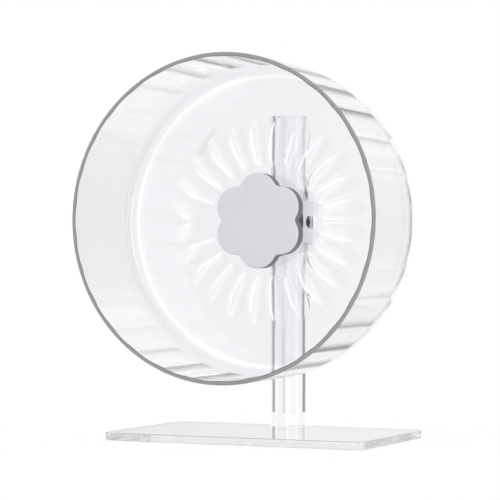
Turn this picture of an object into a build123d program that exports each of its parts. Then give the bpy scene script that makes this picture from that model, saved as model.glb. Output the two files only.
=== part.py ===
from build123d import *
import math
import os

# Rodent exercise wheel: a clear drum that spins on two ball bearings,
# carried by a collar that clamps on a clear post on a clear base plate.
# Millimetres, +Z up. The origin is the post's axis at the table, -Y is the open front of the drum.

# Stand
plate_width = 182.5
plate_depth = 117.0
plate_thickness = 5.0
plate_corner_radius = 9.0
plate_edge_round = 0.5
plate_behind_post = 18.5
post_diameter = 24.0
post_length = 210.0
post_edge_round = 0.8
axle_height = 143.5

# Collar and its clamp
collar_height = 28.0
collar_wall = 2.0
collar_edge_round = 0.6
bush_wall = 0.9
bush_length = 7.0
slide_clearance = 0.05
free_clearance = 0.3
boss_radius = 9.5
insert_radius = 6.0
insert_length = 7.2
insert_cover = 0.6
clamp_recess_radius = 4.3
clamp_bush_radius = 4.1
clamp_bush_thickness = 1.4
clamp_screw_radius = 2.5
clamp_screw_length = 1.6
clamp_pad_thickness = 0.9
clamp_pad_radius = 2.0
clamp_hex_across = 2.5
clamp_hex_depth = 1.0

# Ball bearings, size 608
bearing_bore = 8.0
bearing_outside = 22.0
bearing_width = 7.0
ball_diameter = 3.969
ball_count = 7
race_shoulder = 1.45
groove_clearance = 0.045
cage_wall = 2.0
cage_back = 2.6
cage_front = 0.8
shield_thickness = 0.3
shield_inset = 0.4

# Axle
fit_clearance = 0.02
race_spacing = 6.0
boss_spacer_thickness = 1.6
spacer_wall = 1.9
washer_thickness = 1.2
bolt_head_radius = 7.0
bolt_head_height = 4.4
bolt_head_round = 1.6
bolt_hex_across = 5.0
bolt_hex_depth = 2.6
insert_end_margin = 0.4

# Hub housing
hub_wall = 3.0
hub_flange_radius = 23.4
hub_flange_thickness = 3.4
hub_web_step = 1.4
hub_edge_round = 0.8
hub_lead = 2.5
hub_end_gap = 0.4
spigot_clearance = 0.1
hub_running_gap = 1.0
hub_spacer_thickness = 9.7
hub_spacer_radius = 25.0

# Hub screws
screw_count = 3
screw_circle_radius = 18.7
screw_first_angle = 30.0
screw_radius = 1.45
screw_length = 19.0
screw_head_radius = 2.8
screw_head_height = 1.9
screw_head_recess = 2.1
screw_head_clearance = 0.3
screw_hole_clearance = 0.2
screw_cross_width = 0.7
screw_cross_depth = 1.0

# Drum
wheel_diameter = 210.0
drum_depth = 80.0
drum_draft = 0.75
drum_wall = 2.2
flute_count = 30
flute_depth = 0.8
crest_round = 2.5
drum_corner_radius = 12.0
drum_inner_corner_radius = 10.0
rim_edge_round = 0.5
disc_thickness = 2.0
pad_height = 0.2
pad_radius = 31.0
pad_foot_radius = 34.4
pad_round = 3.0

# Petal flutes in the disc
petal_count = 24
petal_gap = 1.8
petal_outer_radius = 69.0
petal_end_length = 14.5
petal_depth = 1.2
petal_land = 0.8

# Flower cap
cap_lobes = 6
cap_lobe_offset = 17.9
cap_lobe_radius = 13.4
cap_notch_round = 4.0
cap_depth = 8.5
cap_wall = 2.0
cap_edge_round = 0.9
cap_first_angle = 30.0
cap_boss_radius = 3.4

overcut = 1.0

# Radii about the post
post_radius = post_diameter / 2
bush_inner_radius = post_radius + slide_clearance
bush_outer_radius = bush_inner_radius + bush_wall
collar_seat_radius = bush_outer_radius + slide_clearance
collar_bore_radius = post_radius + free_clearance
collar_radius = collar_seat_radius + collar_wall

# Places along the axle, counted forward from the post's axis
insert_back = collar_seat_radius + insert_cover
boss_face = insert_back + insert_length
rear_bearing_back = boss_face + boss_spacer_thickness
rear_bearing_front = rear_bearing_back + bearing_width
front_bearing_back = rear_bearing_front + race_spacing
front_bearing_front = front_bearing_back + bearing_width
bolt_seat = front_bearing_front + washer_thickness
hub_back = boss_face + hub_running_gap
hub_face = front_bearing_front + hub_lead
cap_back = hub_face + hub_end_gap
cap_face = cap_back + cap_depth
pad_face = cap_back - hub_spacer_thickness
disc_face = pad_face - pad_height
disc_back = disc_face - disc_thickness
rim_face = disc_back + drum_depth
flange_back = disc_back - hub_flange_thickness
screw_seat = flange_back + screw_head_recess

# Bearing radii
bearing_bore_radius = bearing_bore / 2
bearing_outside_radius = bearing_outside / 2
ball_radius = ball_diameter / 2
ball_circle_radius = (bearing_bore_radius + bearing_outside_radius) / 2
groove_radius = ball_radius + groove_clearance
inner_shoulder_radius = ball_circle_radius - race_shoulder
outer_shoulder_radius = ball_circle_radius + race_shoulder
spacer_radius = bearing_bore_radius + spacer_wall

# Hub radii
hub_bore_radius = bearing_outside_radius + fit_clearance
hub_barrel_radius = hub_bore_radius + hub_wall
hub_web_radius = bearing_outside_radius - hub_web_step
drum_bore_radius = hub_barrel_radius + spigot_clearance

# The axle's own frame: x to the right, y up and z forward from the post's axis
axle_plane = Plane(origin=(0, 0, axle_height), x_dir=(1, 0, 0), z_dir=(0, -1, 0))

# The clamp's own frame: z out to the right from the post's axis, level with the axle
clamp_plane = Plane(origin=(0, 0, axle_height), x_dir=(0, 1, 0), z_dir=(1, 0, 0))
clamp_pad_start = post_radius + slide_clearance
clamp_screw_start = clamp_pad_start + clamp_pad_thickness + fit_clearance
clamp_bush_start = collar_bore_radius + fit_clearance
clamp_bush_end = clamp_bush_start + clamp_bush_thickness

petal_inner_radius = pad_foot_radius + petal_gap
screw_angles = [screw_first_angle + turn * 360 / screw_count for turn in range(screw_count)]


def polar(radius, degrees):
    """Point on a circle about the axle."""
    angle = math.radians(degrees)
    return (radius * math.cos(angle), radius * math.sin(angle))


def disc(radius, bottom, top):
    """Solid cylinder about Z between two heights."""
    return Pos(0, 0, bottom) * extrude(Circle(radius), top - bottom)


def ring(outer, inner, bottom, top):
    """Tube about Z between two heights."""
    return Pos(0, 0, bottom) * extrude(Circle(outer) - Circle(inner), top - bottom)


def turned(points, rounds):
    """Solid of revolution about Z from (radius, height) points, each corner with its own round."""
    line = FilletPolyline(*[(r, 0, z) for r, z in points], radius=rounds, close=True)
    return revolve(make_face(line), Axis.Z)


def edges_at(shape, height):
    """Edges that lie in the level plane at a height."""
    return shape.edges().filter_by_position(Axis.Z, height - 0.001, height + 0.001)


def hex_socket(across, bottom, top):
    """Prism that cuts a hexagon socket."""
    return Pos(0, 0, bottom) * extrude(RegularPolygon(across / math.sqrt(3), 6), top - bottom)


def base_plate():
    outline = RectangleRounded(plate_width, plate_depth, plate_corner_radius)
    plate = extrude(outline, plate_thickness)
    rims = edges_at(plate, 0) + edges_at(plate, plate_thickness)
    plate = fillet(rims, plate_edge_round)
    return Pos(0, plate_behind_post - plate_depth / 2, 0) * plate


def post():
    top = plate_thickness + post_length
    rod = disc(post_radius, plate_thickness, top)
    return fillet(edges_at(rod, top), post_edge_round)


def collar_bush(bottom):
    return Pos(0, 0, bottom) * ring(bush_outer_radius, bush_inner_radius, 0, bush_length)


def lower_bush():
    return collar_bush(axle_height - collar_height / 2)


def upper_bush():
    return collar_bush(axle_height + collar_height / 2 - bush_length)


def clamp_collar():
    low = axle_height - collar_height / 2
    high = axle_height + collar_height / 2
    seat_depth = bush_length + slide_clearance
    body = fillet(disc(collar_radius, low, high).edges(), collar_edge_round)
    body += axle_plane * disc(boss_radius, 0, boss_face)
    body -= disc(collar_bore_radius, low - overcut, high + overcut)
    body -= disc(collar_seat_radius, low - overcut, low + seat_depth)
    body -= disc(collar_seat_radius, high - seat_depth, high + overcut)
    body -= axle_plane * disc(insert_radius + fit_clearance, insert_back, boss_face + overcut)
    body -= clamp_plane * disc(clamp_bush_radius + fit_clearance, post_radius, collar_radius)
    body -= clamp_plane * disc(clamp_recess_radius, clamp_bush_end, collar_radius + overcut)
    return body


def clamp_bush():
    blank = clamp_plane * disc(clamp_bush_radius, post_radius, clamp_bush_end)
    blank -= disc(clamp_bush_start, axle_height - collar_height, axle_height + collar_height)
    return blank - clamp_plane * disc(clamp_screw_radius + slide_clearance, 0, collar_radius)


def clamp_screw():
    end = clamp_screw_start + clamp_screw_length
    screw = disc(clamp_screw_radius, clamp_screw_start, end)
    screw -= hex_socket(clamp_hex_across, end - clamp_hex_depth, end + overcut)
    return clamp_plane * screw


def clamp_pad():
    end = clamp_pad_start + clamp_pad_thickness
    return clamp_plane * disc(clamp_pad_radius, clamp_pad_start, end)


def axle_insert():
    bore = bearing_bore_radius + fit_clearance
    return axle_plane * ring(insert_radius, bore, insert_back, boss_face)


def axle_bolt():
    top = bolt_seat + bolt_head_height
    head = disc(bolt_head_radius, bolt_seat, top)
    head = fillet(edges_at(head, top), bolt_head_round)
    bolt = head + disc(bearing_bore_radius - fit_clearance, insert_back + insert_end_margin, bolt_seat)
    bolt -= hex_socket(bolt_hex_across, top - bolt_hex_depth, top + overcut)
    return axle_plane * bolt


def bolt_washer():
    bore = bearing_bore_radius + fit_clearance
    return axle_plane * ring(spacer_radius, bore, front_bearing_front, bolt_seat)


def race_spacer():
    bore = bearing_bore_radius + fit_clearance
    return axle_plane * ring(spacer_radius, bore, rear_bearing_front, front_bearing_back)


def boss_spacer():
    bore = bearing_bore_radius + fit_clearance
    return axle_plane * ring(spacer_radius, bore, boss_face, rear_bearing_back)


def ball_groove(middle):
    """Ring that cuts the ball track in a race."""
    return Pos(0, 0, middle) * Torus(ball_circle_radius, groove_radius)


def ball_places(middle):
    """Centres of the balls of one bearing."""
    return Pos(0, 0, middle) * PolarLocations(ball_circle_radius, ball_count)


def inner_race(back):
    middle = back + bearing_width / 2
    race = ring(inner_shoulder_radius, bearing_bore_radius, back, back + bearing_width)
    return axle_plane * (race - ball_groove(middle))


def outer_race(back):
    middle = back + bearing_width / 2
    race = ring(bearing_outside_radius, outer_shoulder_radius, back, back + bearing_width)
    return axle_plane * (race - ball_groove(middle))


def bearing_balls(back):
    middle = back + bearing_width / 2
    return axle_plane * Compound([place * Sphere(ball_radius) for place in ball_places(middle)])


def bearing_cage(back):
    middle = back + bearing_width / 2
    outer = ball_circle_radius + cage_wall / 2
    inner = ball_circle_radius - cage_wall / 2
    cage = ring(outer, inner, middle - cage_back, middle + cage_front)
    for place in ball_places(middle):
        cage -= place * Sphere(groove_radius)
    return axle_plane * cage


def bearing_shields(back):
    outer = outer_shoulder_radius - fit_clearance
    inner = inner_shoulder_radius + free_clearance
    starts = [back + shield_inset, back + bearing_width - shield_inset - shield_thickness]
    return axle_plane * Compound([ring(outer, inner, low, low + shield_thickness) for low in starts])


def at_screws(shape):
    """Copies of a shape at each hub screw's place."""
    return [Pos(*polar(screw_circle_radius, angle), 0) * shape for angle in screw_angles]


def hub_housing():
    """Barrel for both bearings, with a flange behind the drum's disc."""
    housing = disc(hub_barrel_radius, hub_back, hub_face)
    flange = disc(hub_flange_radius, flange_back, disc_back)
    housing += fillet(edges_at(flange, flange_back), hub_edge_round)
    housing -= disc(hub_web_radius, hub_back - overcut, hub_face + overcut)
    housing -= disc(hub_bore_radius, hub_back - overcut, rear_bearing_front)
    housing -= disc(hub_bore_radius, front_bearing_back, hub_face + overcut)
    hole = disc(screw_radius + screw_hole_clearance, flange_back - overcut, disc_back + overcut)
    recess = disc(screw_head_radius + screw_head_clearance, flange_back - overcut, screw_seat)
    for cut in at_screws(hole) + at_screws(recess):
        housing -= cut
    return axle_plane * housing


def hub_spacer():
    """Ring between the drum's disc and the flower cap."""
    spacer = ring(hub_spacer_radius, drum_bore_radius, pad_face, cap_back)
    for hole in at_screws(disc(screw_radius + screw_hole_clearance, disc_face, cap_face)):
        spacer -= hole
    return axle_plane * spacer


def hub_screw():
    head_back = screw_seat - screw_head_height
    screw = disc(screw_head_radius, head_back, screw_seat)
    screw += disc(screw_radius, screw_seat, screw_seat + screw_length)
    slot = Box(2 * screw_radius, screw_cross_width, 2 * screw_cross_depth)
    screw -= Pos(0, 0, head_back) * slot
    screw -= Pos(0, 0, head_back) * Rot(0, 0, 90) * slot
    return screw


def hub_screws():
    return axle_plane * Compound(at_screws(hub_screw()))


def cap_outline(inset):
    """Six-petal outline, drawn in by an inset."""
    places = PolarLocations(cap_lobe_offset, cap_lobes, start_angle=cap_first_angle)
    petals = Circle(cap_lobe_offset)
    for place in places:
        petals += place * Circle(cap_lobe_radius - inset)
    return fillet(petals.vertices(), cap_notch_round + inset)


def flower_cap():
    cap = Pos(0, 0, cap_back) * extrude(cap_outline(0), cap_depth)
    cap = fillet(edges_at(cap, cap_face), cap_edge_round)
    cap -= Pos(0, 0, cap_back) * extrude(cap_outline(cap_wall), cap_depth - cap_wall)
    for boss in at_screws(disc(cap_boss_radius, cap_back, cap_face - cap_wall)):
        cap += boss
    screw_end = screw_seat + screw_length
    pilot = disc(screw_radius + fit_clearance, cap_back - overcut, screw_end + fit_clearance)
    for hole in at_screws(pilot):
        cap -= hole
    return axle_plane * cap


def drum_radius(forward):
    """Outside radius of the drum, which narrows towards the back by its draft."""
    return wheel_diameter / 2 - (rim_face - forward) * math.tan(math.radians(drum_draft))


def drum_outside():
    """Outside of the drum with no hollow."""
    points = [
        (0, rim_face),
        (drum_radius(rim_face), rim_face),
        (drum_radius(disc_back), disc_back),
        (0, disc_back),
    ]
    return turned(points, [0, rim_edge_round, drum_corner_radius, 0])


def drum_hollow_limit():
    """Space in front of the disc and its raised pad, wider than the flutes until the corner."""
    mouth = rim_face + overcut
    points = [
        (0, mouth),
        (drum_radius(mouth) - drum_wall, mouth),
        (drum_radius(disc_face) - drum_wall, disc_face),
        (pad_foot_radius, disc_face),
        (pad_radius, pad_face),
        (0, pad_face),
    ]
    return turned(points, [0, 0, drum_inner_corner_radius, pad_round, pad_round, 0])


def flute_outline(valley_radius):
    """Scalloped line of the running wall: one arc a flute, with rounded crests between."""
    half = 180 / flute_count
    crest_radius = valley_radius - flute_depth
    arcs = []
    for flute in range(flute_count):
        middle = flute * 2 * half
        crests = [polar(crest_radius, middle - half), polar(crest_radius, middle + half)]
        arcs.append(ThreePointArc(crests[0], polar(valley_radius, middle), crests[1]))
    outline = make_face(arcs)
    return fillet(outline.vertices(), crest_round)


def drum_hollow():
    """Fluted hollow with the drum's draft."""
    ends = [rim_face + overcut, disc_face - overcut]
    sections = [Pos(0, 0, end) * flute_outline(drum_radius(end) - drum_wall) for end in ends]
    return loft(sections, ruled=True) & drum_hollow_limit()


def petal_half_width(radius):
    """Half the width of a petal at a distance from the axle, less the land between petals."""
    return radius * math.tan(math.pi / petal_count) - petal_land / 2


def petal_section(radius):
    """Shallow circle across one petal, sized by its distance from the axle."""
    half_width = petal_half_width(radius)
    depth = petal_depth * radius / petal_outer_radius
    circle_radius = (half_width**2 + depth**2) / (2 * depth)
    plane = Plane(origin=(radius, 0, disc_face - depth + circle_radius), z_dir=(1, 0, 0))
    return plane * Circle(circle_radius)


def petal_cutter():
    """Dished petal with a long round outer end."""
    trough = loft([petal_section(petal_inner_radius), petal_section(petal_outer_radius)], ruled=True)
    end_start = petal_outer_radius - petal_end_length
    half_width = petal_half_width(end_start)
    straight = end_start - petal_inner_radius
    outline = Pos(petal_inner_radius + straight / 2, 0) * Rectangle(straight, 2 * half_width)
    outline += Pos(end_start, 0) * Ellipse(petal_end_length, half_width)
    block = Pos(0, 0, disc_back) * extrude(outline, disc_thickness + overcut)
    return trough & block


def wheel_drum():
    drum = drum_outside() - drum_hollow()
    drum -= disc(drum_bore_radius, disc_back - overcut, pad_face + overcut)
    hole = disc(screw_radius + screw_hole_clearance, disc_back - overcut, pad_face + overcut)
    for cut in at_screws(hole):
        drum -= cut
    petal = petal_cutter()
    for turn in range(petal_count):
        drum -= Rot(0, 0, (turn + 0.5) * 360 / petal_count) * petal
    return axle_plane * drum


nodes = {
    "base_plate": base_plate(),
    "post": post(),
    "lower_bush": lower_bush(),
    "upper_bush": upper_bush(),
    "clamp_collar": clamp_collar(),
    "clamp_bush": clamp_bush(),
    "clamp_screw": clamp_screw(),
    "clamp_pad": clamp_pad(),
    "axle_insert": axle_insert(),
    "axle_bolt": axle_bolt(),
    "bolt_washer": bolt_washer(),
    "race_spacer": race_spacer(),
    "boss_spacer": boss_spacer(),
    "hub_housing": hub_housing(),
    "hub_spacer": hub_spacer(),
    "hub_screws": hub_screws(),
    "flower_cap": flower_cap(),
    "wheel_drum": wheel_drum(),
}
for side, back in {"front": front_bearing_back, "rear": rear_bearing_back}.items():
    nodes[f"{side}_inner_race"] = inner_race(back)
    nodes[f"{side}_outer_race"] = outer_race(back)
    nodes[f"{side}_bearing_balls"] = bearing_balls(back)
    nodes[f"{side}_bearing_cage"] = bearing_cage(back)
    nodes[f"{side}_bearing_shields"] = bearing_shields(back)

os.makedirs("parts", exist_ok=True)
for name, shape in nodes.items():
    export_step(shape, f"parts/{name}.step")
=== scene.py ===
import math

import bpy
from mathutils import Matrix, Vector


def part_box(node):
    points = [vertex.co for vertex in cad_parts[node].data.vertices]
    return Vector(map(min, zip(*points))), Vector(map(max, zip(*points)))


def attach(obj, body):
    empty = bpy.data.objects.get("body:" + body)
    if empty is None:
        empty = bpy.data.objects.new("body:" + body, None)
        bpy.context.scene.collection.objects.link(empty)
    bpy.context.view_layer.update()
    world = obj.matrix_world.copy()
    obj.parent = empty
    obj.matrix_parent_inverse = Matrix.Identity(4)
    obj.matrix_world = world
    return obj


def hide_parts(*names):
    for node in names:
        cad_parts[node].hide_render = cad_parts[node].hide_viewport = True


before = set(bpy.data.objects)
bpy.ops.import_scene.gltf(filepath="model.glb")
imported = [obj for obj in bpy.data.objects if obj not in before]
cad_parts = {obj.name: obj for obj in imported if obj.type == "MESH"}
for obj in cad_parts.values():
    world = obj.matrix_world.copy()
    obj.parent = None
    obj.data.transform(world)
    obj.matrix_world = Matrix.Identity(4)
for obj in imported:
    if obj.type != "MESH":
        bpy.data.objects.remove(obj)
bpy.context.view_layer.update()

MM = 0.001

# Places read from the frame
drum_low, drum_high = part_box("wheel_drum")
plate_low, plate_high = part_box("base_plate")
post_low, post_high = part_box("post")
cap_low, cap_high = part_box("flower_cap")
AXLE_HEIGHT = (drum_low.z + drum_high.z) / 2
AXLE_X = (drum_low.x + drum_high.x) / 2
POST_AXIS = Vector(((post_low.x + post_high.x) / 2, (post_low.y + post_high.y) / 2, 0))

# Camera, solved from the photograph's rim circle, post and plate
CAMERA_PLACE = (575.04 * MM, -1363.62 * MM, 113.22 * MM)
CAMERA_HEADING = math.radians(23.889)
CAMERA_RISE = math.radians(0.4412)
CAMERA_ROLL = math.radians(0.2061)
CAMERA_LENS = 157.52
CAMERA_SENSOR = 36.0
CAMERA_REACH = 50.0

# Drum, in radii and in distance forward from the disc's back face
DRUM_RADIUS = (drum_high.z - drum_low.z) / 2
DRUM_DEPTH = drum_high.y - drum_low.y
DRUM_DRAFT = math.radians(0.75)
DRUM_WALL = 2.2 * MM
FLUTES = 30
FLUTE_DEPTH = 0.85 * MM
FLUTE_BLEND = 1.0 * MM
DRUM_CORNER = 12 * MM
DRUM_INNER_CORNER = 10 * MM
RIM_ROUND = 0.5 * MM
# Radial step of the band that carries the rim's painted dark line
SHADE_LINE_STEP = 0.45 * MM
DISC_THICKNESS = 2.0 * MM
PAD_HEIGHT = 0.2 * MM
PAD_RADIUS = 31.0 * MM
PAD_FOOT_RADIUS = 34.4 * MM
PAD_ROUND = 3.0 * MM
CENTRE_BORE = 14.12 * MM
PETALS = 24
PETAL_INNER = 36.2 * MM
PETAL_OUTER = 69 * MM
PETAL_START_LENGTH = 7 * MM
PETAL_END_LENGTH = 14.5 * MM
PETAL_DEPTH = 1.2 * MM
PETAL_LAND = 0.4 * MM
DRUM_SEGMENTS = 960
DRUM_STEP = 1.0 * MM
# The rim and the line inside it take grey materials that are painted shade.
DISC_SLOT, RIM_SHADE_SLOT, SHADE_LINE_SLOT, WALL_SLOT = range(4)

# Fineness of the meshes
SHARP_EDGE = math.radians(40)
ARC_STEP = math.radians(4)
CIRCLE_STEPS = 192
ROUND_STEPS = 6
EDGE_SUPPORT = 0.3 * MM
SKIN_GAP = 0.02 * MM
FACE_MARGIN = 0.1 * MM

# Base plate and post
PLATE_CORNER = 9 * MM
PLATE_CORNER_STEPS = 16
PLATE_ROUND = 0.5 * MM
POST_ROUND = 0.8 * MM

# Floor
FLOOR_RADIUS = 0.22
FLOOR_DROP = 0.4 * MM
FLOOR_GLOW = 0.94
FLOOR_ROUGHNESS = 0.9

# Flower cap
CAP_LOBES = 6
CAP_LOBE_OFFSET = 17.9 * MM
CAP_LOBE_RADIUS = 13.4 * MM
CAP_NOTCH_ROUND = 4 * MM
CAP_ROUND = 0.9 * MM
CAP_WALL = 2 * MM
CAP_FIRST_ANGLE = math.radians(30)
CAP_STEPS = 14
CAP_ROUND_STEPS = 8
CAP_SUPPORT = 0.4 * MM

# Materials: refraction, and the scale and depth of their surface noise
ACRYLIC_IOR = 1.49
STYRENE_IOR = 1.59
WAVE_SCALE = 30
WAVE_DEPTH = 0.2 * MM
TONE_SCALE = 60
EDGE_TONE_SCALE = 200
GRAIN_SCALE = 2500
GRAIN_DEPTH = 0.01 * MM
MARK_SCALE = 900
MARK_STRETCH = (0.05, 1, 0.05)
MARK_DEPTH = 0.02 * MM

# Light levels round the object, by compass heading in degrees, and how strongly they act by rise
POST_LEVELS = [(-180, 1.0), (-92, 1.0), (-85, 0.2), (-66, 0.2), (-60, 1.0), (-19, 1.0), (-13, 0.75),
               (-5, 1.0), (180, 1.0)]
POST_SHARES = [(-11.5, 0.0), (-8, 1.0), (-3.0, 1.0), (-2.6, 0.35), (8, 0.35), (11.5, 0.0)]
WALL_LEVELS = [(-180, 1.0), (10, 1.0), (18, 0.35), (30, 0.35), (38, 1.0), (180, 1.0)]
WALL_SHARES = [(-26, 0.0), (-22, 0.7), (0, 1.0), (22, 0.7), (26, 0.0)]
REFLECTED_LEVELS = [(-180, 1.2), (-164, 2.4), (-157, 1.3), (-152, 0.9), (-130, 0.8), (-100, 1.0),
                    (-40, 1.0), (-28, 0.82), (-20, 0.9), (-10, 1.0), (0, 1.0), (12, 1.3), (40, 1.3),
                    (60, 1.0), (180, 1.2)]
RING_HEADING = math.radians(-156)
RING_LEVELS = [(180, 1.0), (58, 1.0), (46, 2.6), (32, 2.6), (22, 1.0), (0, 1.0)]
SKY_RISE = math.sin(math.radians(20))
SKY_LEVEL = 1.1
FLAG_HEADING = math.radians(-154.5)
FLAG_RISE = math.radians(3.4)
FLAG_REACH = math.radians(0.45)
FLAG_EDGE = math.radians(0.8)
FILL_LEVEL = 0.88

# Soft lamps
LAMP_DISTANCE = 2.0
LAMP_LONG = 1.8
LAMP_SHORT = 0.8
LAMP_LEVEL = 0.8
LAMP_LEVEL_RIGHT = 2.0


def new_object(name, vertices, faces, materials, face_slots=None):
    """Mesh object from points and faces, shaded smooth up to sharp edges."""
    mesh = bpy.data.meshes.new(name)
    mesh.from_pydata(vertices, [], faces)
    for material in materials:
        mesh.materials.append(material)
    if face_slots:
        mesh.polygons.foreach_set("material_index", face_slots)
    mesh.polygons.foreach_set("use_smooth", [True] * len(mesh.polygons))
    mesh.set_sharp_from_angle(angle=SHARP_EDGE)
    mesh.update()
    made = bpy.data.objects.new(name, mesh)
    bpy.context.scene.collection.objects.link(made)
    return made


def arc_points(corner, before, after, radius):
    """Points of the arc that rounds a corner between two straight lines."""
    corner, before, after = Vector(corner), Vector(before), Vector(after)
    towards = (before - corner).normalized()
    onwards = (after - corner).normalized()
    half = towards.angle(onwards) / 2
    reach = radius / math.tan(half)
    centre = corner + (towards + onwards).normalized() * radius / math.sin(half)
    first = corner + towards * reach - centre
    last = corner + onwards * reach - centre
    sweep = first.angle_signed(last)
    count = max(2, round(abs(sweep) / ARC_STEP))
    return [centre + Matrix.Rotation(-sweep * k / count, 2) @ first for k in range(count + 1)]


def rounded_line(points, rounds):
    """Line through points whose inner corners are rounded."""
    line = [Vector(points[0])]
    for before, corner, after, radius in zip(points, points[1:], points[2:], rounds):
        line += arc_points(corner, before, after, radius) if radius else [Vector(corner)]
    return line + [Vector(points[-1])]


def divided(line, step):
    """The same line with its long stretches cut into steps."""
    fine = [line[0]]
    for start, end in zip(line, line[1:]):
        count = max(1, math.ceil((end - start).length / step))
        fine += [start.lerp(end, k / count) for k in range(1, count + 1)]
    return fine


def smooth_least(a, b, blend):
    """Lesser of two lengths, blended where they are nearly equal."""
    mix = max(blend - abs(a - b), 0) / blend
    return min(a, b) - mix * mix * blend / 4


def smooth_most(a, b, blend):
    """Greater of two lengths, blended where they are nearly equal."""
    return -smooth_least(-a, -b, blend)


def axle_point(radius, angle, back):
    """Point in the row frame, from polar coordinates about the axle and a Y position."""
    return (AXLE_X + radius * math.cos(angle), back, AXLE_HEIGHT + radius * math.sin(angle))


def grid_faces(rows, columns):
    """Quads between closed rows of points, the last row joined to the first."""
    faces = []
    for row in range(rows):
        following = (row + 1) % rows
        for column in range(columns):
            beside = (column + 1) % columns
            faces.append((row * columns + column, row * columns + beside,
                          following * columns + beside, following * columns + column))
    return faces


def valley_radius(back):
    """Inside radius of the drum at the bottom of its flutes."""
    return DRUM_RADIUS - DRUM_WALL - (back - drum_low.y) * math.tan(DRUM_DRAFT)


def flute_radius(angle, back):
    """Inside radius of the fluted wall: the widest reach of the two nearest flute arcs."""
    valley = valley_radius(back)
    half = math.pi / FLUTES
    crest = valley - FLUTE_DEPTH
    rise = valley - crest * math.cos(half)
    arc = ((crest * math.sin(half)) ** 2 + rise ** 2) / (2 * rise)
    centre = valley - arc
    from_valley = (angle + half) % (2 * half) - half

    def reach(turn):
        return centre * math.cos(turn) + math.sqrt(arc ** 2 - (centre * math.sin(turn)) ** 2)

    beside = 2 * half - abs(from_valley)
    return smooth_most(reach(from_valley), reach(beside), FLUTE_BLEND)


def petal_dish(radius, angle):
    """How deep the disc is dished at a point: 24 petals with round ends."""
    start = PETAL_INNER + PETAL_START_LENGTH
    end = PETAL_OUTER - PETAL_END_LENGTH
    half = math.pi / PETALS
    from_middle = (angle + 2 * half) % (2 * half) - half
    across = radius * math.sin(from_middle)
    along = 0
    if radius < start:
        along = (start - radius) / PETAL_START_LENGTH
    elif radius > end:
        along = (radius - end) / PETAL_END_LENGTH
    width = min(radius, end) * math.tan(half) - PETAL_LAND
    share = (across / width) ** 2 + along ** 2
    return PETAL_DEPTH * min(radius, end) / end * max(0, 1 - share)


def drum_profile():
    """Closed section of the drum as (radius, Y, kind), from the rim round the back to the rim."""
    back = drum_high.y
    front = drum_low.y
    disc_face = back - DISC_THICKNESS
    pad_face = disc_face - PAD_HEIGHT
    outside = rounded_line([
        (DRUM_RADIUS - RIM_ROUND * 3, front),
        (DRUM_RADIUS, front),
        (DRUM_RADIUS - DRUM_DEPTH * math.tan(DRUM_DRAFT), back),
        (CENTRE_BORE, back),
    ], [RIM_ROUND, DRUM_CORNER])
    inside = rounded_line([
        (CENTRE_BORE, pad_face),
        (PAD_RADIUS, pad_face),
        (PAD_FOOT_RADIUS, disc_face),
        (valley_radius(disc_face), disc_face),
        (valley_radius(front), front),
    ], [PAD_ROUND, PAD_ROUND, DRUM_INNER_CORNER])
    outside = [(p.x, p.y, "out") for p in divided(outside, DRUM_STEP)]
    inside = [(p.x, p.y, "in") for p in divided(inside, DRUM_STEP)]
    return outside + inside + [(valley_radius(front), front, "line")]


def drum_slots(profile):
    """Material slot of every face, band by band along the profile."""
    rim_back = drum_low.y + RIM_ROUND
    wall_back = drum_high.y - DISC_THICKNESS - DRUM_INNER_CORNER
    slots = []
    for row, ((_, start, _), (_, end, _)) in enumerate(zip(profile, profile[1:] + profile[:1])):
        if row == len(profile) - 2:
            slot = SHADE_LINE_SLOT
        elif max(start, end) < rim_back:
            slot = RIM_SHADE_SLOT
        elif start < wall_back:
            slot = WALL_SLOT
        else:
            slot = DISC_SLOT
        slots += [slot] * DRUM_SEGMENTS
    return slots


def drum_moulding(disc, edge, line, wall):
    """The clear drum: fluted wall and petal disc in one closed skin."""
    profile = drum_profile()
    disc_face = drum_high.y - DISC_THICKNESS
    vertices = []
    for radius, back, kind in profile:
        for k in range(DRUM_SEGMENTS):
            angle = -2 * math.pi * k / DRUM_SEGMENTS
            r, y = radius, back
            if back > disc_face - FACE_MARGIN and radius < PETAL_OUTER:
                y += petal_dish(radius, angle)
            if kind != "out" and radius > PAD_FOOT_RADIUS:
                r = smooth_least(radius, flute_radius(angle, back), FLUTE_BLEND)
            # The last band is the rim's dark inner line, painted shade, set out by a small step.
            if kind == "line":
                r += SHADE_LINE_STEP
            vertices.append(axle_point(r, angle, y))
    faces = grid_faces(len(profile), DRUM_SEGMENTS)
    return new_object("drum_moulding", vertices, faces, [disc, edge, line, wall], drum_slots(profile))


def stacked(name, rings, materials, face_slots=None):
    """Closed solid from a stack of outlines with the same number of points, capped at both ends."""
    count = len(rings[0])
    vertices = [point for ring in rings for point in ring]
    faces = grid_faces(len(rings), count)[:(len(rings) - 1) * count]
    faces.append(tuple(reversed(range(count))))
    faces.append(tuple((len(rings) - 1) * count + k for k in range(count)))
    slots = None
    if face_slots:
        slots = [slot for slot in face_slots for _ in range(count)] + [face_slots[0], face_slots[-1]]
    return new_object(name, vertices, faces, materials, slots)


def edge_levels(radius, support, steps=ROUND_STEPS):
    """Insets and heights of a rounded edge, from a support ring on the flat face out to the side."""
    turns = [math.pi / 2 * k / steps for k in range(steps + 1)]
    quarter = [(radius * (1 - math.sin(t)), radius * (1 - math.cos(t))) for t in turns]
    return [(radius + support, 0)] + quarter


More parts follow.
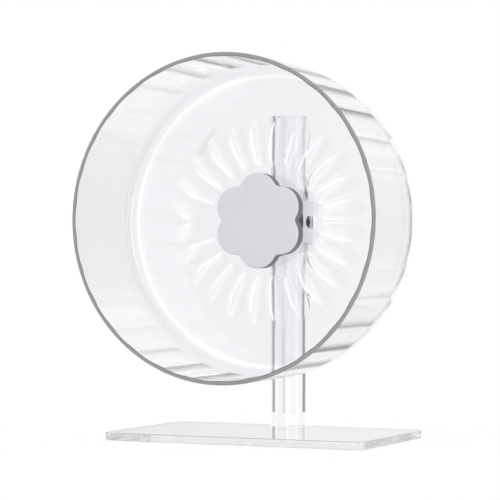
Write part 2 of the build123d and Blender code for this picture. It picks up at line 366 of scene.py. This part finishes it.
def plate_outline(inset, height):
    """Rounded rectangle of the plate, drawn in by an inset."""
    points = []
    corner = PLATE_CORNER - inset
    for turn, (x, y) in enumerate([(plate_high.x, plate_high.y), (plate_low.x, plate_high.y),
                                   (plate_low.x, plate_low.y), (plate_high.x, plate_low.y)]):
        centre_x = x - math.copysign(PLATE_CORNER, x)
        centre_y = y - (PLATE_CORNER if y == plate_high.y else -PLATE_CORNER)
        for k in range(PLATE_CORNER_STEPS + 1):
            angle = math.pi / 2 * (turn + k / PLATE_CORNER_STEPS)
            points.append((centre_x + corner * math.cos(angle), centre_y + corner * math.sin(angle), height))
    return points


def plate_sheet(clear, edge):
    """Base plate: clear faces with a slightly frosted edge between them."""
    levels = edge_levels(PLATE_ROUND, EDGE_SUPPORT)
    rings = [plate_outline(inset, plate_low.z + rise) for inset, rise in levels]
    rings += [plate_outline(inset, plate_high.z - rise) for inset, rise in reversed(levels)]
    slots = [1] * (len(rings) - 1)
    slots[0] = slots[-1] = 0
    return stacked("plate_sheet", rings, [clear, edge], slots)


def circle(centre, radius, height):
    """Level circle of points round an upright axis."""
    turns = [2 * math.pi * k / CIRCLE_STEPS for k in range(CIRCLE_STEPS)]
    return [(centre.x + radius * math.cos(t), centre.y + radius * math.sin(t), height) for t in turns]


def post_rod(clear):
    """Clear rod, whose foot keeps a hair's breadth from the plate's skin."""
    radius = (post_high.x - post_low.x) / 2
    levels = edge_levels(POST_ROUND, EDGE_SUPPORT)
    rings = [circle(POST_AXIS, radius - SKIN_GAP, post_low.z + SKIN_GAP)]
    rings += [circle(POST_AXIS, radius - inset, post_high.z - rise) for inset, rise in reversed(levels)]
    return stacked("post_rod", rings, [clear])


def cap_outline(inset, back):
    """Six round petals joined by hollow rounds, drawn in by an inset."""
    lobe = CAP_LOBE_RADIUS - inset
    notch = CAP_NOTCH_ROUND + inset
    half = math.pi / CAP_LOBES
    across = CAP_LOBE_OFFSET * math.sin(half)
    notch_offset = CAP_LOBE_OFFSET * math.cos(half) + math.sqrt((lobe + notch) ** 2 - across ** 2)
    points = []
    for petal in range(CAP_LOBES):
        turn = CAP_FIRST_ANGLE + 2 * half * petal
        lobe_centre = Vector((CAP_LOBE_OFFSET * math.cos(turn), CAP_LOBE_OFFSET * math.sin(turn)))
        notch_centre = Vector((notch_offset * math.cos(turn + half), notch_offset * math.sin(turn + half)))
        leave = (notch_centre - lobe_centre).angle_signed(Vector((math.cos(turn), math.sin(turn))))
        for k in range(-CAP_STEPS, CAP_STEPS):
            angle = turn + abs(leave) * k / CAP_STEPS
            points.append(lobe_centre + lobe * Vector((math.cos(angle), math.sin(angle))))
        inward = math.pi + turn + half
        spread = abs(leave) - half
        for k in range(-CAP_STEPS, CAP_STEPS):
            angle = inward - spread * k / CAP_STEPS
            points.append(notch_centre + notch * Vector((math.cos(angle), math.sin(angle))))
    return [(AXLE_X + p.x, back, AXLE_HEIGHT + p.y) for p in reversed(points)]


def cap_flower(face, side):
    """Hollow flower cap, open at the back. Its sides and hollow take a darker grey that is painted shade."""
    front = edge_levels(CAP_ROUND, CAP_SUPPORT, CAP_ROUND_STEPS)
    outer = [cap_outline(inset, cap_low.y + rise) for inset, rise in front]
    outer.append(cap_outline(0, cap_high.y))
    hollow = [cap_outline(CAP_WALL, cap_high.y), cap_outline(CAP_WALL, cap_low.y + CAP_WALL)]
    rings = outer + hollow
    # The sides and the hollow take the second material, the cap's grey darkened as painted shade.
    slots = [0] * (len(front) - 1) + [1] * 3
    return stacked("cap_flower", rings, [face, side], slots)


# Materials

def new_material(name):
    """Node material, with its tree and its shader."""
    made = bpy.data.materials.new(name)
    made.use_nodes = True
    shader = made.node_tree.nodes["Principled BSDF"]
    return made, made.node_tree, shader


def object_noise(tree, scale, detail=3.0, stretch=(1, 1, 1)):
    """Noise that stays with the piece, in its own coordinates."""
    place = tree.nodes.new("ShaderNodeTexCoord")
    mapping = tree.nodes.new("ShaderNodeMapping")
    mapping.inputs["Scale"].default_value = stretch
    noise = tree.nodes.new("ShaderNodeTexNoise")
    noise.inputs["Scale"].default_value = scale
    noise.inputs["Detail"].default_value = detail
    tree.links.new(place.outputs["Object"], mapping.inputs["Vector"])
    tree.links.new(mapping.outputs["Vector"], noise.inputs["Vector"])
    return noise


def remap(tree, value, to_low, to_high, from_low=0, from_high=1):
    """Turns one range of a value into another."""
    node = tree.nodes.new("ShaderNodeMapRange")
    node.inputs["From Min"].default_value = from_low
    node.inputs["From Max"].default_value = from_high
    node.inputs["To Min"].default_value = to_low
    node.inputs["To Max"].default_value = to_high
    tree.links.new(value, node.inputs["Value"])
    return node.outputs["Result"]


def maths(tree, operation, first, second):
    """Math node on two values, each a socket or a number."""
    node = tree.nodes.new("ShaderNodeMath")
    node.operation = operation
    for place, value in zip(node.inputs, (first, second)):
        if isinstance(value, (int, float)):
            place.default_value = value
        else:
            tree.links.new(value, place)
    return node.outputs[0]


def chosen(tree, switch, otherwise, when_on):
    """Shader that goes from one to another as a value goes from 0 to 1."""
    mix = tree.nodes.new("ShaderNodeMixShader")
    tree.links.new(switch, mix.inputs["Fac"])
    tree.links.new(otherwise, mix.inputs[1])
    tree.links.new(when_on, mix.inputs[2])
    return mix.outputs["Shader"]


def two_tone(tree, shader, factor, colour, darker, lighter):
    """Base colour that drifts between a darker and a lighter tone of one colour."""
    mix = tree.nodes.new("ShaderNodeMix")
    mix.data_type = "RGBA"
    mix.inputs["A"].default_value = (*[c * darker for c in colour], 1)
    mix.inputs["B"].default_value = (*[min(1, c * lighter) for c in colour], 1)
    tree.links.new(factor, mix.inputs["Factor"])
    tree.links.new(mix.outputs["Result"], shader.inputs["Base Color"])


def varied_roughness(tree, shader, factor, smoothest, roughest):
    """Roughness that drifts between two values."""
    tree.links.new(remap(tree, factor, smoothest, roughest), shader.inputs["Roughness"])


def bump(tree, shader, source, strength, distance):
    """Fine relief that follows a noise."""
    node = tree.nodes.new("ShaderNodeBump")
    node.inputs["Strength"].default_value = strength
    node.inputs["Distance"].default_value = distance
    tree.links.new(source, node.inputs["Height"])
    tree.links.new(node.outputs["Normal"], shader.inputs["Normal"])


def clear_plastic(name, tint, ior, roughness, wave):
    """Polished clear plastic with faint moulding waves."""
    material, tree, shader = new_material(name)
    shader.inputs["Base Color"].default_value = (*tint, 1)
    shader.inputs["IOR"].default_value = ior
    shader.inputs["Transmission Weight"].default_value = 1
    noise = object_noise(tree, WAVE_SCALE)
    varied_roughness(tree, shader, noise.outputs["Fac"], roughness * 0.6, roughness * 1.4)
    bump(tree, shader, noise.outputs["Fac"], wave, WAVE_DEPTH)
    return material


def satin_plastic(name, colour, roughness):
    """Moulded opaque plastic with a fine spark-eroded grain."""
    material, tree, shader = new_material(name)
    tone = object_noise(tree, TONE_SCALE)
    two_tone(tree, shader, tone.outputs["Fac"], colour, 0.97, 1.02)
    varied_roughness(tree, shader, tone.outputs["Fac"], roughness - 0.05, roughness + 0.05)
    grain = object_noise(tree, GRAIN_SCALE, 2)
    bump(tree, shader, grain.outputs["Fac"], 0.25, GRAIN_DEPTH)
    return material


def turned_metal(name, colour, roughness):
    """Metal with fine turning marks round the axle."""
    material, tree, shader = new_material(name)
    shader.inputs["Base Color"].default_value = (*colour, 1)
    shader.inputs["Metallic"].default_value = 1
    marks = object_noise(tree, MARK_SCALE, 2, MARK_STRETCH)
    varied_roughness(tree, shader, marks.outputs["Fac"], roughness * 0.7, roughness * 1.4)
    bump(tree, shader, marks.outputs["Fac"], 0.15, MARK_DEPTH)
    return material


def frost_and_shade_edge(name, colour, roughness, transmission):
    """Cut or moulded edge of clear plastic, which looks solid because light is led along it. The plate's cut
    edge takes a frosted near-white; the drum rim's grey and its dark inner line are painted shade.
    """
    material, tree, shader = new_material(name)
    tone = object_noise(tree, EDGE_TONE_SCALE)
    two_tone(tree, shader, tone.outputs["Fac"], colour, 0.9, 1.1)
    shader.inputs["Roughness"].default_value = roughness
    shader.inputs["IOR"].default_value = ACRYLIC_IOR
    shader.inputs["Transmission Weight"].default_value = transmission
    return material


drum_clear = clear_plastic("drum_clear", (0.855, 0.865, 0.885), STYRENE_IOR, 0.01, 0.05)
wall_clear = clear_plastic("wall_clear", (0.9, 0.905, 0.915), ACRYLIC_IOR, 0.06, 0.05)
sheet_clear = clear_plastic("sheet_clear", (0.92, 0.925, 0.935), ACRYLIC_IOR, 0.01, 0.02)
rod_clear = clear_plastic("rod_clear", (0.91, 0.915, 0.93), ACRYLIC_IOR, 0.01, 0.02)
# The drum rim's grey and the darker line inside it are painted shade, standing in for the clear rim's
# darkening by refraction.
rim_painted_shade = frost_and_shade_edge("rim_painted_shade", (0.42, 0.42, 0.43), 0.3, 0.4)
rim_painted_dark_line = frost_and_shade_edge("rim_painted_dark_line", (0.2, 0.2, 0.205), 0.3, 0.4)
plate_edge = frost_and_shade_edge("plate_edge", (0.96, 0.965, 0.97), 0.1, 0.6)
grey_face = satin_plastic("grey_face", (0.61, 0.615, 0.64), 0.45)
# The collar's own light grey, lifted above the cap face's grey as painted light to offset the shade it sits
# in behind the cap and hub.
collar_grey_painted_light = satin_plastic("collar_grey_painted_light", (0.86, 0.865, 0.89), 0.45)
# The cap's sides: the cap's grey darkened as painted shade, so they stay darker than its face under any
# light.
cap_side_painted_shade = satin_plastic("cap_side_painted_shade", (0.14, 0.14, 0.145), 0.45)
black_hub = satin_plastic("black_hub", (0.015, 0.015, 0.017), 0.4)
nylon = satin_plastic("nylon", (0.75, 0.75, 0.72), 0.5)
black_steel = turned_metal("black_steel", (0.06, 0.06, 0.065), 0.35)
zinc_steel = turned_metal("zinc_steel", (0.62, 0.63, 0.65), 0.3)
bearing_steel = turned_metal("bearing_steel", (0.7, 0.7, 0.72), 0.15)
brass = turned_metal("brass", (0.72, 0.53, 0.25), 0.3)

node_materials = {
    "clamp_collar": collar_grey_painted_light,
    "clamp_bush": black_steel,
    "clamp_screw": black_steel,
    "clamp_pad": nylon,
    "lower_bush": nylon,
    "upper_bush": nylon,
    "axle_insert": brass,
    "axle_bolt": zinc_steel,
    "bolt_washer": zinc_steel,
    "race_spacer": zinc_steel,
    "boss_spacer": zinc_steel,
    "hub_housing": black_hub,
    "hub_spacer": black_hub,
    "hub_screws": zinc_steel,
}
for side in ("front", "rear"):
    for piece in ("inner_race", "outer_race", "bearing_balls"):
        node_materials[f"{side}_{piece}"] = bearing_steel
    node_materials[f"{side}_bearing_shields"] = zinc_steel
    node_materials[f"{side}_bearing_cage"] = nylon
for node, material in node_materials.items():
    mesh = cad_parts[node].data
    mesh.materials.clear()
    mesh.materials.append(material)

drum = drum_moulding(drum_clear, rim_painted_shade, rim_painted_dark_line, wall_clear)
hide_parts("wheel_drum")
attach(drum, "wheel")
drum.visible_shadow = False

plate = plate_sheet(sheet_clear, plate_edge)
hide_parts("base_plate")
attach(plate, "stand")

post = post_rod(rod_clear)
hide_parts("post")
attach(post, "stand")
post.visible_shadow = False

cap = cap_flower(grey_face, cap_side_painted_shade)
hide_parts("flower_cap")
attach(cap, "wheel")


# Stage, light and camera

def stage_floor():
    """Round white floor just under the plate. It glows for seen rays, and keeps a share for shadows."""
    material, tree, shader = new_material("floor_white")
    shader.inputs["Base Color"].default_value = (1, 1, 1, 1)
    shader.inputs["Roughness"].default_value = FLOOR_ROUGHNESS
    shader.inputs["Specular IOR Level"].default_value = 0.0
    path = tree.nodes.new("ShaderNodeLightPath")
    glow = tree.nodes.new("ShaderNodeEmission")
    glow.inputs["Color"].default_value = (1, 1, 1, 1)
    direct = maths(tree, "MAXIMUM", path.outputs["Is Camera Ray"], path.outputs["Is Transmission Ray"])
    seen = maths(tree, "MAXIMUM", direct, path.outputs["Is Glossy Ray"])
    share = maths(tree, "MULTIPLY", seen, FLOOR_GLOW)
    surface = chosen(tree, share, shader.outputs["BSDF"], glow.outputs["Emission"])
    tree.links.new(surface, tree.nodes["Material Output"].inputs["Surface"])
    rim = circle(Vector((0, 0, 0)), FLOOR_RADIUS, -FLOOR_DROP)
    floor = new_object("floor", rim, [tuple(range(len(rim)))], [material])


def ray_direction(tree):
    """Direction of the ray that looks up the world's light."""
    return tree.nodes.new("ShaderNodeTexCoord").outputs["Generated"]


def ray_parts(tree):
    """X, Y and Z of the ray's direction."""
    parts = tree.nodes.new("ShaderNodeSeparateXYZ")
    tree.links.new(ray_direction(tree), parts.inputs["Vector"])
    return parts.outputs


def compass(heading, rise):
    """Unit vector from a compass heading and a rise above the horizon."""
    return Vector((math.sin(heading) * math.cos(rise), math.cos(heading) * math.cos(rise), math.sin(rise)))


def levels_along(tree, value, levels):
    """Grey level that follows a 0 to 1 value, from (position, level) stops in rising order."""
    ramp = tree.nodes.new("ShaderNodeValToRGB")
    ramp.color_ramp.interpolation = "EASE"
    stops = ramp.color_ramp.elements
    for position, level in levels[1:-1]:
        stops.new(position).color = (level, level, level, 1)
    for stop, (position, level) in zip((stops[0], stops[-1]), (levels[0], levels[-1])):
        stop.color = (level, level, level, 1)
    tree.links.new(value, ramp.inputs["Fac"])
    return ramp.outputs["Color"]


def by_heading(tree, levels):
    """Level by compass heading: 0 away from the drum's open front, positive to its right."""
    parts = ray_parts(tree)
    turns = remap(tree, maths(tree, "ARCTAN2", parts["X"], parts["Y"]), 0, 1, -math.pi, math.pi)
    return levels_along(tree, turns, [((degrees + 180) / 360, level) for degrees, level in levels])


def by_rise(tree, shares):
    """Share by rise above the horizon, from (degrees, share) stops over a band of rises."""
    stops = [(math.sin(math.radians(degrees)), share) for degrees, share in shares]
    low, high = stops[0][0], stops[-1][0]
    place = remap(tree, ray_parts(tree)["Z"], 0, 1, low, high)
    return levels_along(tree, place, [((rise - low) / (high - low), share) for rise, share in stops])


def softened(tree, level, share):
    """Level drawn towards 1 as its share falls to 0."""
    mix = tree.nodes.new("ShaderNodeMix")
    mix.inputs["A"].default_value = 1
    tree.links.new(share, mix.inputs["Factor"])
    tree.links.new(level, mix.inputs["B"])
    return mix.outputs["Result"]


def nearness(tree, towards):
    """Cosine of the angle between the ray and a direction."""
    product = tree.nodes.new("ShaderNodeVectorMath")
    product.operation = "DOT_PRODUCT"
    product.inputs[1].default_value = towards
    tree.links.new(ray_direction(tree), product.inputs[0])
    return product.outputs["Value"]


def ring_light(tree):
    """Bright ring round the mirror direction of the disc, which lights the ridges between its petals."""
    place = remap(tree, nearness(tree, compass(RING_HEADING, 0)), 0, 1, -1, 1)
    return levels_along(tree, place, [((1 + math.cos(math.radians(degrees))) / 2, level)
                                      for degrees, level in RING_LEVELS])


def beside_flag(tree):
    """0 inside a small dark flag in front of the wheel, 1 beside it."""
    place = nearness(tree, compass(FLAG_HEADING, FLAG_RISE))
    return remap(tree, place, 0, 1, math.cos(FLAG_REACH), math.cos(FLAG_EDGE))


def sky(tree):
    """Brighter towards the ceiling."""
    return remap(tree, ray_parts(tree)["Z"], 1, SKY_LEVEL, 0, SKY_RISE)


def shone(tree, factors):
    """Background light whose strength is the product of its factors."""
    product = factors[0]
    for factor in factors[1:]:
        product = maths(tree, "MULTIPLY", product, factor)
    light = tree.nodes.new("ShaderNodeBackground")
    light.inputs["Color"].default_value = (1, 1, 1, 1)
    tree.links.new(product, light.inputs["Strength"])
    return light.outputs["Background"]


def even(tree, level):
    """Background light of one level."""
    light = tree.nodes.new("ShaderNodeBackground")
    light.inputs["Color"].default_value = (level, level, level, 1)
    return light.outputs["Background"]


def studio_world():
    """White studio, with grey flags beside the object that give the clear plastic its lines."""
    world = bpy.data.worlds.new("studio")
    bpy.context.scene.world = world
    world.use_nodes = True
    tree = world.node_tree
    tree.nodes.clear()
    path = tree.nodes.new("ShaderNodeLightPath")
    post_flags = softened(tree, by_heading(tree, POST_LEVELS), by_rise(tree, POST_SHARES))
    wall_flag = softened(tree, by_heading(tree, WALL_LEVELS), by_rise(tree, WALL_SHARES))
    refracted = shone(tree, [post_flags, wall_flag, beside_flag(tree)])
    mirrored = by_heading(tree, REFLECTED_LEVELS)
    reflected = shone(tree, [mirrored, sky(tree), ring_light(tree), beside_flag(tree)])
    light = chosen(tree, path.outputs["Is Glossy Ray"], even(tree, FILL_LEVEL), reflected)
    light = chosen(tree, path.outputs["Is Transmission Ray"], light, refracted)
    light = chosen(tree, path.outputs["Is Camera Ray"], light, even(tree, 1))
    output = tree.nodes.new("ShaderNodeOutputWorld")
    tree.links.new(light, output.inputs["Surface"])


def softbox(name, heading, rise, width, height, brightness):
    """Soft rectangular lamp that faces the wheel, placed by heading and rise in degrees from the hub."""
    lamp = bpy.data.lights.new(name, "AREA")
    lamp.shape = "RECTANGLE"
    lamp.size = width
    lamp.size_y = height
    lamp.energy = brightness * math.pi * width * height
    towards = compass(math.radians(heading), math.radians(rise))
    made = bpy.data.objects.new(name, lamp)
    made.location = Vector((0, 0, AXLE_HEIGHT)) + towards * LAMP_DISTANCE
    made.rotation_euler = (-towards).to_track_quat("-Z", "Y").to_euler()
    bpy.context.scene.collection.objects.link(made)


def camera():
    """Long lens at the photograph's viewing angle."""
    lens = bpy.data.cameras.new("camera")
    lens.sensor_width = CAMERA_SENSOR
    lens.lens = CAMERA_LENS
    lens.clip_end = CAMERA_REACH
    made = bpy.data.objects.new("camera", lens)
    ahead = Vector((-math.sin(CAMERA_HEADING) * math.cos(CAMERA_RISE),
                    math.cos(CAMERA_HEADING) * math.cos(CAMERA_RISE),
                    math.sin(CAMERA_RISE)))
    right = ahead.cross(Vector((0, 0, 1))).normalized()
    up = right.cross(ahead)
    tilted_right = right * math.cos(CAMERA_ROLL) + up * math.sin(CAMERA_ROLL)
    tilted_up = -right * math.sin(CAMERA_ROLL) + up * math.cos(CAMERA_ROLL)
    turn = Matrix((tilted_right, tilted_up, -ahead)).transposed()
    made.matrix_world = Matrix.Translation(CAMERA_PLACE) @ turn.to_4x4()
    bpy.context.scene.collection.objects.link(made)
    bpy.context.scene.camera = made


stage_floor()
studio_world()
softbox("front_softbox", 164, 10, LAMP_SHORT, LAMP_LONG, LAMP_LEVEL)
softbox("left_softbox", -114, 10, LAMP_SHORT, LAMP_LONG, LAMP_LEVEL)
softbox("right_softbox", 100, 10, LAMP_SHORT, LAMP_LONG, LAMP_LEVEL_RIGHT)
softbox("top_softbox", -156, 48, LAMP_LONG, LAMP_SHORT, LAMP_LEVEL)
camera()
bpy.context.scene.view_settings.view_transform = "Standard"
